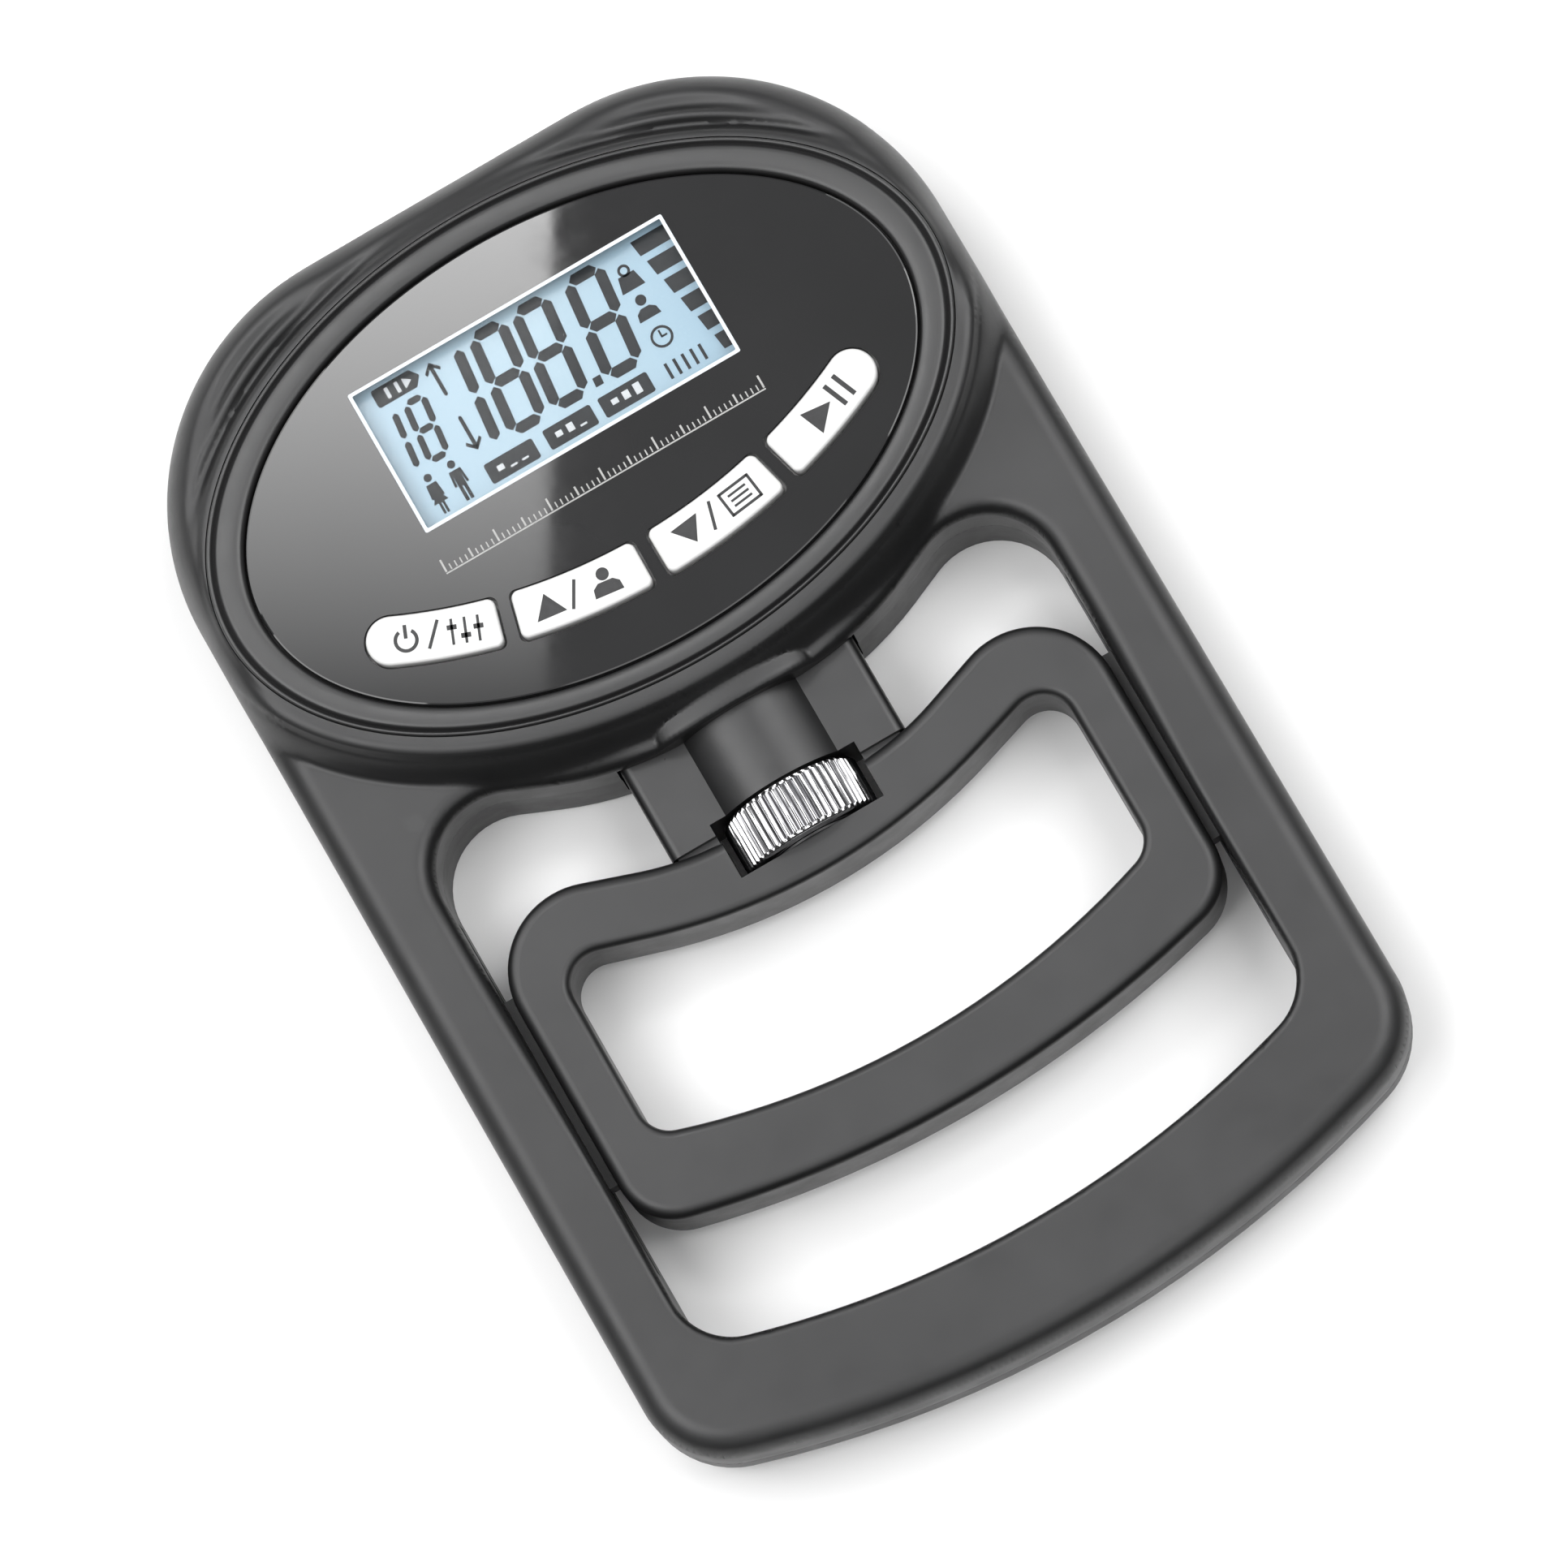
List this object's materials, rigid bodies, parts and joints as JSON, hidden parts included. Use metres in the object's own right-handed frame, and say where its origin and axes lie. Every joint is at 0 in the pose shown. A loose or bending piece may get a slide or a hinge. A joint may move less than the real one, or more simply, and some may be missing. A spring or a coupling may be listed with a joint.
{
  "type": "hand dynamometer",
  "caption": "Electronic hand dynamometer: ring-shaped case with an oval display head, sliding inner grip, span-adjusting knob, soft keys and a battery door on the back.",
  "frame": {"origin": "under the middle of the instrument, on the plane its back rests on when it lies on a table", "axes": "+Z out of the display, +Y from the palm bar towards the display head, +X to the right of a reader"},
  "size_m": [0.128, 0.199, 0.028],
  "materials": {
    "case_plastic": "fine texture, satin",
    "bezel_plastic": "semi-gloss",
    "lens_plastic": "polished, dark tinted",
    "key_white": "soft satin",
    "lcd_glass": "polished",
    "white_abs": "moulded",
    "light_guide": "diffusing",
    "strip_rubber": "striped",
    "board_green": "solder mask",
    "chip_black": "moulded",
    "switch_metal": "stamped",
    "zinc_steel": "zinc plated",
    "cell_aluminium": "milled",
    "gauge_film": "polyimide film",
    "bright_steel": "ground",
    "brass": "turned",
    "grip_plastic": "fine texture, satin",
    "washer_nylon": "plain",
    "knob_chrome": "knurled, polished",
    "battery_can": "wrapped",
    "nickel_contact": "nickel plated"
  },
  "bodies": {
    "root": {"front_case": "case_plastic", "rear_case": "case_plastic", "display_bezel": "bezel_plastic", "display_lens": "lens_plastic", "lcd_glass": "lcd_glass", "lcd_holder": "white_abs", "backlight_panel": "light_guide", "contact_strips": "strip_rubber", "main_board": "board_green", "board_components": "chip_black", "tact_switches": "switch_metal", "board_screws": "zinc_steel", "load_cell_base": "cell_aluminium", "load_cell_screws": "zinc_steel", "strain_gauges": "gauge_film", "battery_cells": "battery_can", "battery_contacts": "nickel_contact", "case_screws": "zinc_steel"},
    "load_link": {"load_tongue": "cell_aluminium", "pull_bolt": "zinc_steel", "pull_tube": "bright_steel", "drive_nut": "brass"},
    "grip": {"grip_stem": "case_plastic", "grip_front": "grip_plastic", "grip_rear": "grip_plastic", "grip_screws": "zinc_steel", "thrust_washers": "washer_nylon"},
    "knob": {"adjust_knob": "knob_chrome", "lead_screw": "bright_steel"},
    "key_power": {"key_power": "key_white"},
    "key_up": {"key_up": "key_white"},
    "key_down": {"key_down": "key_white"},
    "key_start": {"key_start": "key_white"},
    "battery_door": {"battery_door": "case_plastic"}
  },
  "joints": [
    {"name": "grip_squeeze", "type": "slide", "parent": "root", "child": "load_link", "axis": [0, -1, 0], "range_m": [0, 0.0005], "stiffness_N_per_m": 8000},
    {"name": "grip_adjust", "type": "slide", "parent": "load_link", "child": "grip", "axis": [0, 1, 0], "range_m": [-0.012, 0.01]},
    {"name": "knob_turn", "type": "hinge", "parent": "grip", "child": "knob", "pos_m": [0, -0.011, 0.0113], "axis": [0, 1, 0], "range_deg": [-2161.5, 1801.5]},
    {"name": "press_power", "type": "slide", "parent": "root", "child": "key_power", "axis": [0, 0, -1], "range_m": [0, 0.0005], "stiffness_N_per_m": 60, "springref_m": -0.003},
    {"name": "press_up", "type": "slide", "parent": "root", "child": "key_up", "axis": [0, 0, -1], "range_m": [0, 0.0005], "stiffness_N_per_m": 60, "springref_m": -0.003},
    {"name": "press_down", "type": "slide", "parent": "root", "child": "key_down", "axis": [0, 0, -1], "range_m": [0, 0.0005], "stiffness_N_per_m": 60, "springref_m": -0.003},
    {"name": "press_start", "type": "slide", "parent": "root", "child": "key_start", "axis": [0, 0, -1], "range_m": [0, 0.0005], "stiffness_N_per_m": 60, "springref_m": -0.003},
    {"name": "door_open", "type": "hinge", "parent": "root", "child": "battery_door", "pos_m": [0, 0.0886, 0], "axis": [1, 0, 0], "range_deg": [0, 80]}
  ],
  "couplings": [
    {"joint": "knob_turn", "follows": "grip_adjust", "rad_per_m": 3141.6}
  ]
}
